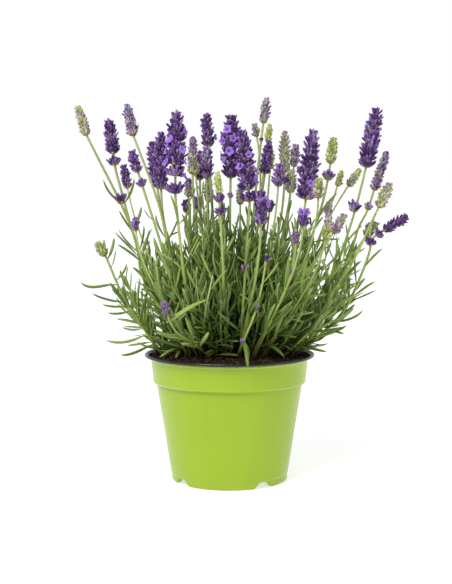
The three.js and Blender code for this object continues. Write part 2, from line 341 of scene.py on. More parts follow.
def leaf_material():
    f = Finish("lavender_leaf", Sheen_Weight=0.03, Sheen_Roughness=0.5, Specular_IOR_Level=0.12)
    along, around, tint, speckle = f.mapped(30, 9)
    sage = f.ramp(along, (0, 0.42, 0.53, 0.09), (0.25, 0.31, 0.43, 0.1), (0.9, 0.34, 0.45, 0.13),
                  (1, 0.4, 0.47, 0.13))
    # Dark deep green for low and inner leaves: partly their own colour, partly painted shade.
    fresh_and_shaded = f.ramp(along, (0, 0.09, 0.17, 0.012), (0.3, 0.02, 0.06, 0.003), (1, 0.035, 0.1, 0.006))
    color = f.mix(f.math("POWER", tint, 1.9), fresh_and_shaded, sage)
    under = f.math("GREATER_THAN", around, 0.667)
    color = f.mix(f.times(under, 0.35), color, (0.24, 0.32, 0.14))
    rib = f.math("ABSOLUTE", f.minus(around, 0.333))
    on_rib = f.math("LESS_THAN", rib, 0.035)
    color = f.mix(f.times(on_rib, 0.35), color, (0.22, 0.32, 0.08))
    color = f.mottled(0.5, color, speckle, (0.3, 0.55, 0.57, 0.5), (0.75, 1.4, 1.35, 1.3))
    return f.finish(color, f.range(speckle, 0.42, 0.62), speckle, 0.12)


def stem_material():
    f = Finish("downy_stem", Sheen_Weight=0.04, Sheen_Roughness=0.5, Specular_IOR_Level=0.15)
    along, _, tint, grain = f.mapped(60, 5)
    # Both ramps are darkest at the foot: partly the woody base of the stem, partly painted shade under the
    # leaves.
    young = f.ramp(along, (0, 0.04, 0.02, 0.008), (0.08, 0.11, 0.1, 0.02), (0.25, 0.3, 0.4, 0.06),
                   (0.6, 0.39, 0.47, 0.13), (1, 0.36, 0.42, 0.19))
    old = f.ramp(along, (0, 0.03, 0.015, 0.006), (0.2, 0.05, 0.06, 0.01), (0.5, 0.12, 0.2, 0.025),
                 (1, 0.26, 0.34, 0.12))
    color = f.mix(tint, old, young)
    color = f.mottled(0.45, color, grain, (0.3, 0.62, 0.6, 0.58), (0.75, 1.3, 1.3, 1.3))
    return f.finish(color, f.range(grain, 0.5, 0.7), grain, 0.15)


def calyx_material(name, pale, *stops):
    """Ribbed down: the colour changes from the foot of a calyx to its mouth and the bud in it."""
    f = Finish(name, Sheen_Weight=0.06, Sheen_Roughness=0.45, Specular_IOR_Level=0.14)
    along, around, tint, grain = f.mapped(18, 12)
    ribs = f.math("COSINE", f.times(around, 2 * pi * 4))
    # the ramp's dark stop is painted shade in the crease at the calyx's mouth
    color = f.ramp(along, *stops)
    color = f.mix(f.times(f.math("POWER", tint, 2.5), 0.6), color, pale)
    shade = f.range(tint, 0.5, 1.3)
    color = f.mix(0.6, color, f.vector(shade, shade, shade), "MULTIPLY")
    color = f.mottled(0.55, color, grain, (0.3, 0.5, 0.45, 0.5), (0.75, 1.5, 1.5, 1.5))
    height = f.math("ADD", f.times(ribs, 0.5), grain)
    return f.finish(color, f.range(grain, 0.55, 0.8), height, 0.12)


def petal_material():
    f = Finish("open_petal", Sheen_Weight=0.15, Subsurface_Weight=0.15, Subsurface_Scale=0.001,
               Specular_IOR_Level=0.3)
    along, _, tint, veins = f.mapped(4, 40)
    # The last stop, deep in the throat, is near black: painted shade inside the flower's tube.
    color = f.ramp(along, (0, 0.12, 0.05, 0.28), (0.42, 0.22, 0.1, 0.52), (0.62, 0.3, 0.14, 0.6),
                   (0.8, 0.22, 0.09, 0.5), (1, 0.05, 0.015, 0.16))
    color = f.mix(f.times(tint, 0.35), color, (0.42, 0.24, 0.68))
    color = f.mottled(0.4, color, veins, (0.35, 0.7, 0.66, 0.8), (0.7, 1.25, 1.25, 1.15))
    return f.finish(color, f.range(veins, 0.5, 0.65), veins, 0.08)


def bract_material():
    f = Finish("dry_bract", Specular_IOR_Level=0.25)
    along, _, tint, grain = f.mapped(8, 20)
    color = f.mix(tint, f.ramp(along, (0, 0.3, 0.26, 0.09), (1, 0.24, 0.12, 0.1)),
                  f.ramp(along, (0, 0.36, 0.38, 0.13), (1, 0.42, 0.3, 0.13)))
    color = f.mottled(0.4, color, grain, (0.3, 0.6, 0.6, 0.6), (0.7, 1.3, 1.3, 1.3))
    return f.finish(color, f.range(grain, 0.6, 0.8), grain, 0.1)


def pot_material():
    """Smooth plastic, with painted highlights in pale lines along the edges listed at the top and painted
    shade under the collar.
    """
    f = Finish("lime_plastic", Specular_IOR_Level=0.5)
    spot = f.position()
    cloud = f.noise(spot, 9.0, 2.0)
    # Vertical streaks: in the colour a painted reflection, faint pale and dark bands as the surroundings
    # would reflect; they also vary the roughness.
    stretched = f.node("ShaderNodeMapping", Vector=spot)
    stretched.inputs["Scale"].default_value = (90, 90, 6)
    reflection_streaks = f.noise(stretched.outputs[0], 1.0, 2.0)
    fine = f.noise(spot, 900.0, 2.0)
    color = f.ramp(cloud, (0.35, 0.285, 0.42, 0.004), (0.65, 0.315, 0.45, 0.008))
    color = f.mottled(0.25, color, reflection_streaks, (0.35, 0.93, 0.94, 0.9), (0.65, 1.05, 1.05, 1.05))
    parts = f.node("ShaderNodeSeparateXYZ", Vector=spot)
    side = f.math("POWER", f.times(f.math("ABSOLUTE", parts.outputs[0]), 1 / (POT_MIDWAY * MM)), 2)
    # Painted highlights: each line is a pale band where a rounded edge would catch the light, strongest at
    # the sides.
    for height, half, front, sides in POT_HIGHLIGHT_LINES:
        off = f.math("ABSOLUTE", f.minus(parts.outputs[2], height * MM))
        near = f.math("MAXIMUM", f.minus(1.0, f.math("DIVIDE", off, half * MM)), 0.0)
        amount = f.times(near, f.math("ADD", front, f.times(side, sides - front)))
        color = f.mix(amount, color, (0.72, 0.8, 0.36))
    # Painted shade: darker just under the collar's step, fading over COLLAR_SHADE millimetres.
    below = f.times(f.minus(COLLAR_EDGE * MM, parts.outputs[2]), 1 / (COLLAR_SHADE * MM))
    shade = f.times(f.math("GREATER_THAN", below, 0.0), f.minus(1.0, below))
    shade = f.times(f.math("MAXIMUM", shade, 0.0), 0.12)
    color = f.mix(shade, color, (0.18, 0.3, 0.008))
    rough = f.range(f.math("ADD", f.times(cloud, 0.5), f.times(reflection_streaks, 0.5)), 0.24, 0.34)
    return f.finish(color, rough, fine, 0.02)


def black_plastic():
    f = Finish("black_plastic", Specular_IOR_Level=0.38)
    spot = f.position()
    scuff = f.noise(spot, 260.0, 4.0)
    cloud = f.noise(spot, 25.0, 2.0)
    color = f.ramp(scuff, (0.3, 0.004, 0.004, 0.005), (0.75, 0.02, 0.02, 0.024))
    return f.finish(color, f.range(cloud, 0.2, 0.34), scuff, 0.03)


def soil_material():
    f = Finish("peat_soil", Specular_IOR_Level=0.2)
    spot = f.position()
    crumbs = f.node("ShaderNodeTexVoronoi", Vector=spot, Scale=420.0)
    fine = f.noise(spot, 900.0, 5.0, 0.65)
    broad = f.noise(spot, 60.0, 3.0)
    color = f.ramp(broad, (0.3, 0.005, 0.0025, 0.001), (0.7, 0.022, 0.01, 0.004))
    chance = f.node("ShaderNodeSeparateColor", Color=crumbs.outputs["Color"]).outputs[0]
    brown = f.times(f.math("GREATER_THAN", chance, 0.78), f.range(fine, 0.1, 1.0))
    color = f.mix(brown, color, (0.15, 0.07, 0.03))
    height = f.math("ADD", crumbs.outputs["Distance"], fine)
    return f.finish(color, f.range(fine, 0.8, 1.0), height, 0.6)


def floor_material():
    f = Finish("pale_floor", Specular_IOR_Level=0.2)
    cloud = f.noise(f.position(), 3.0, 2.0)
    f.shader.inputs["Emission Color"].default_value = (1, 1, 1, 1)
    away = f.node("ShaderNodeVectorMath", Vector=f.position())
    away.operation = "LENGTH"
    glow = f.range(f.times(away.outputs["Value"], 0.5), *FLOOR_GLOW)
    f.feed(f.shader.inputs["Emission Strength"], glow)
    color = f.ramp(cloud, (0.3, 0.49, 0.49, 0.49), (0.7, 0.51, 0.51, 0.51))
    return f.finish(color, f.range(cloud, 0.75, 0.85))


LEAF = leaf_material()
STEM = stem_material()
PETAL = petal_material()
BRACT = bract_material()
# For each colour of calyx: its slot, the shade of its pale ones, and the stops from its foot to its bud.
# In each, the dark stop at 0.57 or 0.58 is painted shade in the crease where the bud sits in the calyx's
# mouth.
CALYX_COLORS = {
    "purple": ("purple_flower", (0.36, 0.25, 0.52), (0, 0.15, 0.15, 0.05), (0.14, 0.1, 0.065, 0.095),
        (0.35, 0.085, 0.04, 0.135), (0.52, 0.07, 0.028, 0.12), (0.57, 0.02, 0.007, 0.045),
        (0.66, 0.09, 0.03, 0.19), (0.85, 0.12, 0.045, 0.25), (1, 0.2, 0.1, 0.36)),
    "violet": ("purple_flower", (0.46, 0.38, 0.54), (0, 0.38, 0.44, 0.09), (0.25, 0.33, 0.32, 0.17),
        (0.5, 0.23, 0.15, 0.28), (0.58, 0.08, 0.03, 0.14), (0.7, 0.17, 0.08, 0.32), (1, 0.33, 0.2, 0.54)),
    "budding": ("opening_bud", (0.54, 0.55, 0.34), (0, 0.42, 0.5, 0.08), (0.3, 0.47, 0.54, 0.12),
        (0.48, 0.44, 0.46, 0.22), (0.58, 0.22, 0.15, 0.2), (0.7, 0.26, 0.15, 0.44),
        (1, 0.38, 0.26, 0.56)),
    "green": ("green_bud", (0.56, 0.6, 0.3), (0, 0.36, 0.46, 0.06), (0.5, 0.44, 0.53, 0.1),
        (0.58, 0.26, 0.33, 0.06), (0.75, 0.48, 0.56, 0.17), (1, 0.46, 0.4, 0.4)),
    "withered": ("opening_bud", (0.22, 0.14, 0.36), (0, 0.1, 0.07, 0.035), (0.5, 0.2, 0.14, 0.18),
        (1, 0.3, 0.22, 0.3)),
}
CALYX_SLOT = {kind: slot for kind, (slot, *_) in CALYX_COLORS.items()}
CALYX = {kind: calyx_material(f"{kind}_calyx", *colors) for kind, (_, *colors) in CALYX_COLORS.items()}


# ---- leaves ----

LEAF_SECTION = np.array([(1, -0.62), (0.62, 0.1), (0, -0.06), (-0.62, 0.1), (-1, -0.62), (0, -0.5)])
LEAF_STATIONS = 8


def leaf_width(t):
    """Half-width along a leaf: a short narrow stalk, widest past the middle, a blunt tip."""
    swell = 0.36 + 0.64 * smooth(t, 0.0, 0.45)
    return swell * np.sqrt(np.clip(1 - (np.clip(t - 0.55, 0, 1) / 0.452) ** 2.6, 0.02, 1))


def blade_ring(centre, side, top, share, width):
    half = width / 2 * leaf_width(share)
    return centre + half * (LEAF_SECTION[:, :1] * side + LEAF_SECTION[:, 1:] * top)


def blade_along(spine, upper, width):
    """A blade that follows a given curve, its face towards upper."""
    ways = np.gradient(spine, axis=0)
    rings = []
    for i, (centre, way) in enumerate(zip(spine, ways)):
        way = unit(way)
        side = unit(np.cross(way, upper))
        rings.append(blade_ring(centre, side, np.cross(side, way), i / (len(spine) - 1), width))
    return rings


def leaf_rings(base, way, upper, length, width, bend, twist, lift, stations=LEAF_STATIONS):
    """A blade that starts along way, bends away from its upper side and lifts again, in radians."""
    t = np.linspace(0, 1, stations)
    angle = bend * t - lift * t ** 2
    way = unit(way)
    upper = unit(upper - way * np.dot(upper, way))
    steps = np.cos(angle)[:, None] * way - np.sin(angle)[:, None] * upper
    spine = base + np.concatenate([[np.zeros(3)], np.cumsum(steps[:-1] + steps[1:], axis=0) / 2]) * (
        length / (stations - 1))
    across = np.cross(upper, way)
    rings = []
    for share, centre, step in zip(t, spine, steps):
        side = turned(across, step, twist * share)
        rings.append(blade_ring(centre, side, np.cross(step, side), share, width))
    return rings


# ---- stems ----

def add_stem(patch, path, thick, thin, tint, nodes=()):
    """A square stem that thins from its foot up, with a swelling at each leaf node's share of it."""
    shares = np.linspace(0, 1, len(path))
    radii = thick + (thin - thick) * shares
    for share in nodes:
        radii = radii * (1 + 0.3 * np.exp(-((shares - share) * len(path) / 1.1) ** 2))
    patch.add(tube_rings(path, radii, 8, 0.07), tint)


def leaf_breadth(length):
    return (1.15 + 0.068 * length) * draw(0.85, 1.15)


def add_leaf(patch, point, axis, out, angle, length, tint, stations=LEAF_STATIONS):
    """One leaf that leans out from a stem's axis by an angle."""
    way = axis * cos(angle) + out * sin(angle)
    upper = axis * sin(angle) - out * cos(angle)
    upper = turned(upper, unit(way), jitter(0.7))
    rings = leaf_rings(point, way, upper, length, leaf_breadth(length), draw(-0.35, 0.75),
                       jitter(0.6), draw(-0.1, 0.5), stations)
    patch.add(rings, tint)


def add_leaf_pair(patch, point, axis, turn, length, lean, tint, tuft=0):
    """Two opposite leaves at a node of a stem, and small leaves in each of their axils."""
    side = turned(any_across(axis), axis, turn)
    for half in (0, pi):
        out = turned(side, axis, half + jitter(0.25))
        angle = lean + jitter(0.16)
        add_leaf(patch, point, axis, out, angle, length * draw(0.8, 1.15), tint + jitter(0.25))
        for _ in range(tuft):
            spread = turned(out, axis, jitter(0.8))
            add_leaf(patch, point, axis, spread, angle * draw(0.3, 0.8),
                     length * draw(0.35, 0.6),
                     tint + draw(-0.35, 0.1), 5)


def add_placed_leaf(patch, path, height, x, y, z, early, late, width, tint):
    """A leaf from a path to a tip, which rises off the straight line by early and then late millimetres."""
    base, tip = at_height(path, height)[0], np.array([x, y, z], float)
    chord = tip - base
    lifted = unit(np.cross(np.cross(chord, UP), chord))
    spine = bezier(base, base + chord / 3 + lifted * early * 2, tip - chord / 3 + lifted * late * 2, tip,
                   LEAF_STATIONS + 2)
    patch.add(blade_along(spine, unit(lifted + 0.9 * FRONT), width), tint)


# ---- flower spikes ----

CALYX_SIDES = 8
CALYX_RIBS = 0.09               # how far its ribs stand out, as a share of its radius
CALYX_PROFILE = {               # (how far along, how wide) from the foot to the bud's tip
    "closed": [(0, 0.35), (0.15, 0.74), (0.42, 1.0), (0.68, 0.98), (0.73, 0.84), (0.84, 0.88), (0.96, 0.64),
               (1.03, 0.25)],
    "mouth": [(0, 0.35), (0.15, 0.74), (0.42, 1.0), (0.72, 1.0), (0.76, 0.9), (0.8, 0.66), (0.9, 0.6),
              (0.96, 0.25)],
    "bud": [(0, 0.35), (0.15, 0.72), (0.42, 0.96), (0.68, 0.92), (0.74, 0.78), (0.92, 0.92), (1.08, 0.78),
            (1.17, 0.3)],
}


@lru_cache(maxsize=None)
def calyx_shape(kind):
    """Rings of a ribbed tube, one long and one wide, that stands on the origin."""
    angles = even_angles(CALYX_SIDES)
    ribs = 1 + CALYX_RIBS * np.cos(angles * CALYX_SIDES / 2)
    return np.array([circle(wide * ribs, angles, along) for along, wide in CALYX_PROFILE[kind]])


def place(shape, origin, way, length, radius, roll, curve=None):
    """A shape of rings stood on origin along way, and leant towards curve near its end."""
    across = turned(any_across(way), way, roll)
    other = np.cross(way, across)
    rings = origin + shape[..., :1] * radius * across + shape[..., 1:2] * radius * other
    rings = rings + shape[..., 2:] * length * way
    if curve is not None:
        rings = rings + shape[..., 2:] ** 2 * curve
    return rings


LOBES = 5
PETAL_AROUND = 20


@lru_cache(maxsize=None)
def open_flower_shape():
    """A short tube with five round lobes: the underside, the edge, the face and the throat."""
    angles = even_angles(PETAL_AROUND)
    lobe = np.abs(np.cos(angles * LOBES / 2)) ** 0.5
    edge = (0.74 + 0.26 * lobe) * (1 + 0.14 * np.cos(angles))
    rings = []
    for share, height, lobed in ((0.22, -0.9, 0), (0.27, -0.15, 0), (0.62, 0.08, 0.5), (1.0, 0.16, 1),
                                 (0.98, 0.24, 1), (0.62, 0.16, 0.5), (0.2, -0.04, 0), (0.1, -0.4, 0)):
        wide = share * ((1 - lobed) + lobed * edge)
        wave = 0.09 * lobed * np.cos(angles * LOBES) + 0.14 * lobed * np.cos(angles)
        rings.append(circle(wide, angles, height + wave))
    return np.array(rings)


# A spike's width, against its radius, at shares of its length below the tip.
SPIKE_OUTLINE = ((0, 0.36), (0.06, 0.5), (0.14, 0.72), (0.35, 0.95), (0.6, 1.02), (0.95, 1.02), (1, 0.96))
BLOOM_SIZE = 3.3, 4.3
GROWN_SHAPES = "closed", "mouth", "bud"
YOUNG_SHAPES = "closed", "closed", "mouth"
USUAL_KIND = 0.74               # the share of a spike's calyxes that have its own colour
VIOLET_USUAL = 0.62             # and of a half-open violet one's
OTHER_KINDS = {"purple": ["purple", "purple", "violet"], "violet": ["budding", "purple", "budding"],
               "budding": ["violet", "green", "green"], "green": ["green", "budding"],
               "withered": ["withered", "purple"]}


def calyx_length(radius):
    return 0.72 * radius + 1.5


def outline(share):
    """A spike's width at a share of its length below the tip."""
    return float(np.interp(share, *zip(*SPIKE_OUTLINE)))


class Spike:
    """The meshes of one flower spike: its calyxes, its open flowers and its bracts."""

    def __init__(self):
        self.calyxes, self.flowers, self.bracts = {}, Patch(), Patch()

    def calyx_patch(self, kind):
        return self.calyxes.setdefault(kind, Patch())

    def calyx(self, foot, way, bow, kind, length, wide, tint):
        grown = kind in ("purple", "violet")
        shape = calyx_shape(rng.choice(GROWN_SHAPES if grown else YOUNG_SHAPES))
        rings = place(shape, foot, way, length, wide * draw(0.9, 1.1), draw(0, 6.28), bow)
        self.calyx_patch(kind).add(rings, tint)

    def whorl(self, centre, axis, radius, length, kind, rows=2):
        """Rings of calyxes, the outer ones leaning out until they reach that far from the stalk."""
        others = OTHER_KINDS[kind]
        usual = VIOLET_USUAL if kind == "violet" else USUAL_KIND
        wide = 0.1 * length + 0.42
        start = draw(0, 2 * pi)
        outer = math.asin(np.clip((0.74 * radius - 0.35 * wide) / (0.95 * length), 0.1, 0.96))
        shade = jitter(0.2)
        for row in range(rows):
            lean = outer * (1 - row / rows * 0.85)
            spread = 0.62 * radius * (1 - 0.28 * row)
            count = max(4, round(pi * spread / wide))
            for k in range(count):
                turn = start + 2 * pi * (k + row * 0.5) / count + jitter(0.12)
                out = turned(any_across(axis), axis, turn)
                angle = lean + draw(-0.2, 0.24)
                way = unit(axis * cos(angle) + out * sin(angle))
                foot = centre + out * 0.26 * radius * (1 - 0.3 * row)
                foot = foot + axis * length * (jitter(0.12) + row * 0.14)
                size = length * draw(0.82, 1.1) * (1 - 0.06 * row)
                here = kind if rng.random() < usual else rng.choice(others)
                self.calyx(foot, way, axis * 0.1 * length, here, size, wide, rng.random() + shade)
        for k in range(6):
            out = turned(any_across(axis), axis, start + pi * k / 3)
            way = unit(axis * 0.35 + out)
            self.bracts.add(leaf_rings(centre - axis * 0.7 + out * 0.6, way, unit(axis - 0.3 * out),
                                       0.72 * radius, 0.4 * radius, -0.7, 0, 0, 5), rng.random())

    def bloom(self, centre, axis, radius, degrees):
        """An open flower at that side of the spike, counted from the front towards +X."""
        out = level(math.radians(degrees))
        out = unit(out - axis * np.dot(out, axis))
        way = unit(out + axis * draw(-0.1, 0.6) + any_across(out) * jitter(0.45))
        size = draw(*BLOOM_SIZE)
        foot = centre + out * (radius + 0.2)
        rings = place(open_flower_shape(), foot, way, size, size, draw(0, 6.28))
        self.flowers.add(rings, rng.random())

    def body(self, base, tip, radius, kind, top_kind=None, blooms=()):
        """Packed whorls from the base of a spike to its tip, then the small calyxes that close it."""
        base, tip = np.asarray(base, float), np.asarray(tip, float)
        axis = unit(tip - base)
        length = norm(tip - base)
        full = calyx_length(radius)
        last = max(length - 0.9 * full, 0.45 * length)
        steps = max(2, round(last / (0.6 * full + 0.5)))
        for i in range(steps + 1):
            up = last * i / steps
            share = (length - up - 0.4 * full) / length
            wide = radius * outline(share)
            here = kind if top_kind is None or up < 0.5 * last else top_kind
            self.whorl(base + axis * up, axis, wide, full * (0.5 + 0.5 * wide / radius), here)
        top = base + axis * last
        self.whorl(top + axis * 0.28 * full, axis, 0.34 * radius, 0.52 * full, top_kind or kind, 1)
        self.calyx(top + axis * 0.3 * full, axis, None, top_kind or kind, 0.6 * full,
                   0.075 * full + 0.3, 0.6)
        stalk = np.linspace(base - axis, top, 8)
        self.calyx_patch(kind).add(tube_rings(stalk, np.full(8, 0.16 * radius + 0.3), 6), 0.1)
        for height, degrees in blooms:
            up = (height - base[2]) / axis[2]
            self.bloom(base + axis * up, axis, radius * outline((length - up) / length), degrees)

    def build(self, name, nodes=()):
        for kind, patch in self.calyxes.items():
            patch.build(f"{name}_{kind}_calyxes", CALYX[kind], CALYX_SLOT[kind], nodes)
        if self.flowers.count:
            self.flowers.build(f"{name}_open_flowers", PETAL, "purple_flower", nodes)
        if self.bracts.count:
            self.bracts.build(f"{name}_bracts", BRACT, "green_stem", nodes)


# ---- flowering stems that the frame holds ----

def node_points(name):
    """A CAD node's corners, in millimetres."""
    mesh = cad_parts[name].data
    points = np.empty(len(mesh.vertices) * 3)
    mesh.vertices.foreach_get("co", points)
    return np.unique(points.reshape(-1, 3).round(6), axis=0) / MM


def stem_line(name):
    """The middle of a CAD stem, from its foot up: the mean of each ring of its corners."""
    points = node_points(name)
    foot = points[points[:, 2].argmin()]
    way = unit(points[norm(points - foot, axis=1).argmax()] - foot)
    along = (points - foot) @ way
    order = along.argsort()
    cuts = np.nonzero(np.diff(along[order]) > 3.0)[0] + 1
    return np.array([group.mean(axis=0) for group in np.split(points[order], cuts)])


# The colour of each CAD flower and the leaf pairs on its stem, in order. Then, for some of them by number:
# the colour of the spike's upper half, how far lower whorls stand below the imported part, and open flowers
# as (height, degrees from the front towards +X).
CAD_FLOWERS = [
    ("budding", 2), ("green", 3), ("purple", 2), ("violet", 3), ("purple", 3), ("purple", 3),
    ("purple", 3), ("purple", 2), ("budding", 2), ("purple", 2), ("purple", 2), ("green", 2),
    ("purple", 2), ("purple", 3), ("purple", 3), ("violet", 2), ("purple", 3), ("budding", 3),
    ("violet", 3), ("purple", 3), ("green", 3), ("purple", 2), ("violet", 3), ("budding", 3),
    ("purple", 2),
]
TOP_KINDS = {9: "violet", 19: "budding"}
LOWER_WHORLS = {3: [8], 5: [11], 8: [7, 22], 12: [5, 15.5], 14: [8], 23: [17], 25: [6]}
BLOOMS = {
    7: [(271, 62)],
    8: [(299, -32), (294, -62), (290, 42), (279, -75), (280, 66), (268, 60), (305, 62), (288, -88),
        (301, 150), (284, 200)],
    11: [(302, 82)],
    13: [(308, -33), (298, -58), (289, -14), (300, 12), (286, -80), (294, 48), (303, -80), (281, -48),
         (296, 160), (285, 215), (306, 120)],
    14: [(276, -38), (271, 78), (285, 25), (262, 60), (279, 170)],
    15: [(244, 80)],
    20: [(261, 14), (285, 160), (272, 230)],
    22: [(309, 190), (290, 150)],
}
LOWEST_PAIR, HIGHEST_PAIR = 0.14, 0.6   # the shares of a stem between which its leaves stand
STEM_LEAF = 36                  # the length of a leaf at the foot of a stem
WHORL_FOOT = 4.0                # how far a CAD spike reaches below its lowest whorl
SLIM_TOP = 0.7                  # how wide unopened green buds are above open purple whorls

# An extra tuft of calyxes on some of those stems, as (height, how far aside, radius, length, colour).
STEM_WHORLS = {
    3: (244, -2.5, 5, 6.5, "purple"), 22: (237, -1.5, 6.4, 7, "purple"),
    13: (249, 0, 2.6, 3.4, "withered"), 21: (265, 0, 6.2, 6.8, "violet"), 18: (262, 0, 4.6, 4.8, "purple"),
    16: (300, 0, 1.8, 3, "purple"), 25: (208, -1, 5.6, 5, "purple"),
}

# Leaves with a place of their own on those stems: (height, tip x, y, z, early and late rise, width).
STEM_LEAVES = {
    1: [(196, -68, 2, 222, 1, 1, 2.7), (172, -50, -16, 196, 1, 2, 2.8)],
    2: [(173, -129, -20, 176, 1, -4, 3), (158, -118, -30, 167, -1, -1, 2.7),
        (154, -112, 0, 155, 0, -1, 2.5), (151, -105, -26, 150, -1, -1, 2.6),
        (130, -107, -24, 126, -2, -3, 3), (121, -94, -30, 114, 0, -2, 3), (123, -91, 4, 118, 0, 0, 2.6),
        (135, -93, -22, 137, -1, -1, 2.4), (196, -108, -22, 213, 1, 0, 2.8),
        (195, -101, -6, 214, -1, -1, 2.8), (188, -98, -20, 204, -1, 0, 3),
        (177, -90, -4, 191, -1, -1, 2.4), (157, -85, -22, 186, -2, -1, 2.6),
        (141, -74, -30, 160, -1, 0, 2.8), (140, -84, 14, 166, 1, 1, 2.8)],
    3: [(243, -108, -24, 264, -2, -2, 2.6), (244, -83, -6, 265, -1, -1, 2.4),
        (219, -95, -22, 238, 0, 0, 2.8), (221, -77, -4, 241, -1, -1, 2.8), (192, -96, -28, 209, 1, 1, 3.2),
        (175, -85, -2, 188, 0, 1, 3), (193, -68, -24, 213, -1, 0, 3), (170, -52, -22, 196, 0, 1, 3),
        (150, -78, -24, 168, 0, 1, 3), (148, -40, -20, 176, -1, 1, 2.8)],
    4: [(303, -82, 34, 316, -1, -1, 2.2)],
    5: [(230, -73, -34, 239, -1, 0, 2.2), (206, -44, -30, 232, -1, -1, 2.6)],
    8: [(224, -50, -30, 251, 1, 1, 2.6), (226, -33, -26, 243, -1, -1, 2.4),
        (190, -24, -30, 214, -1, 0, 2.8)],
    14: [(195, -6, -26, 205, 0, 1, 2.4), (195, 30, -24, 212, 1, 1, 2.2), (193, 27, -34, 197, 0, 0, 1.8),
        (160, -14, -36, 186, 1, 1, 2.8), (150, 26, -34, 178, 1, 2, 2.8)],
    20: [(208, 61, -24, 241, 3, 3, 3.6), (196, 72, -26, 226, 1, 2, 3)],
    21: [(217, 84, 20, 232, 1, 1, 3), (226, 96, 22, 253, 2, 1, 3.4), (208, 98, 10, 212, 1, 1, 2.4)],
    22: [(205, 116, -6, 225, 1, 1, 2.6), (190, 84, -10, 214, -1, -1, 2.8)],
    23: [(200, 104, 18, 226, -1, 0, 2.8), (176, 116, 34, 199, 1, 1, 2.8)],
    24: [(236, 118, -38, 214, 2, 1, 2), (212, 128, -40, 228, 1, 1, 2.6), (190, 96, -34, 212, -1, 0, 2.8),
        (176, 112, -42, 196, 1, 1, 3)],
    25: [(187, 132, -18, 205, 1, 1, 2.8), (162, 125, -26, 177, 0, 1, 3), (166, 120, 4, 178, 0, 1, 2.8),
        (140, 115, -24, 152, -1, -2, 3), (144, 111, 2, 155, 0, 0, 2.6), (133, 99, -26, 132, 1, 0, 2.6),
        (172, 108, -20, 200, -1, 0, 2.6), (150, 100, -26, 178, 0, 1, 3)],
}


def add_flower_stem(stem, leaves, path, pairs, thick, thin):
    """A stem with opposite pairs of leaves on its lower part."""
    shares = [LOWEST_PAIR + (HIGHEST_PAIR - LOWEST_PAIR) * (k + 0.5 + jitter(0.2)) / pairs
              for k in range(pairs)]
    add_stem(stem, path, thick, thin, draw(0.45, 0.99), shares)
    for k, share in enumerate(shares):
        point, axis = at_share(path, share)
        length = STEM_LEAF * (1 - 0.4 * share) * draw(0.85, 1.15)
        add_leaf_pair(leaves, point, axis, k * pi / 2 + jitter(0.3), length,
                      draw(0.3, 0.6), draw(0.4, 0.9), 1 if share < 0.4 else 0)


def build_cad_flowers():
    for i, (kind, pairs) in enumerate(CAD_FLOWERS, start=1):
        whorls = LOWER_WHORLS.get(i, [])
        stem_node, spike_node = f"flower_stem_{i:02d}", f"flower_spike_{i:02d}"
        line = stem_line(stem_node)
        neck = line[-1]
        corners = node_points(spike_node)
        far = norm(corners - neck, axis=1)
        tip = corners[far.argmax()]
        bottom = corners[far.argsort()[:8]].mean(axis=0)
        axis = unit(tip - bottom)
        away = corners - bottom
        radius = norm(away - np.outer(away @ axis, axis), axis=1).max()
        base = bottom + axis * (whorls[-1] + WHORL_FOOT if whorls else 0)
        spike = Spike()
        slim = SLIM_TOP if kind == "green" and whorls else 1
        spike.body(base, tip, radius * slim, kind, TOP_KINDS.get(i), BLOOMS.get(i, []))
        for below in whorls:
            spike.whorl(base - axis * (below + 2), axis, radius, calyx_length(radius),
                        "purple" if kind == "green" else kind, 3)
        top = base + axis * 2
        path = through(np.vstack([line[0] - UP * 3, line] + ([top] if whorls else [])), 34)
        if i in STEM_WHORLS:
            height, aside, *look = STEM_WHORLS[i]
            point, way = at_height(path, height)
            spike.whorl(point + (aside, 0, 0), way, *look, 3)
        spike.build(spike_node + "_bloom", [spike_node])
        stem, leaves = Patch(), Patch()
        add_flower_stem(stem, leaves, path, pairs, 1.25, 0.95)
        for leaf in STEM_LEAVES.get(i, []):
            add_placed_leaf(leaves, path, *leaf, draw(0.45, 0.95))
        stem.build(stem_node + "_stalk", STEM, "green_stem", [stem_node])
        leaves.build(stem_node + "_leaves", LEAF, "leaf", [stem_node])


# ---- smaller flowers between them ----

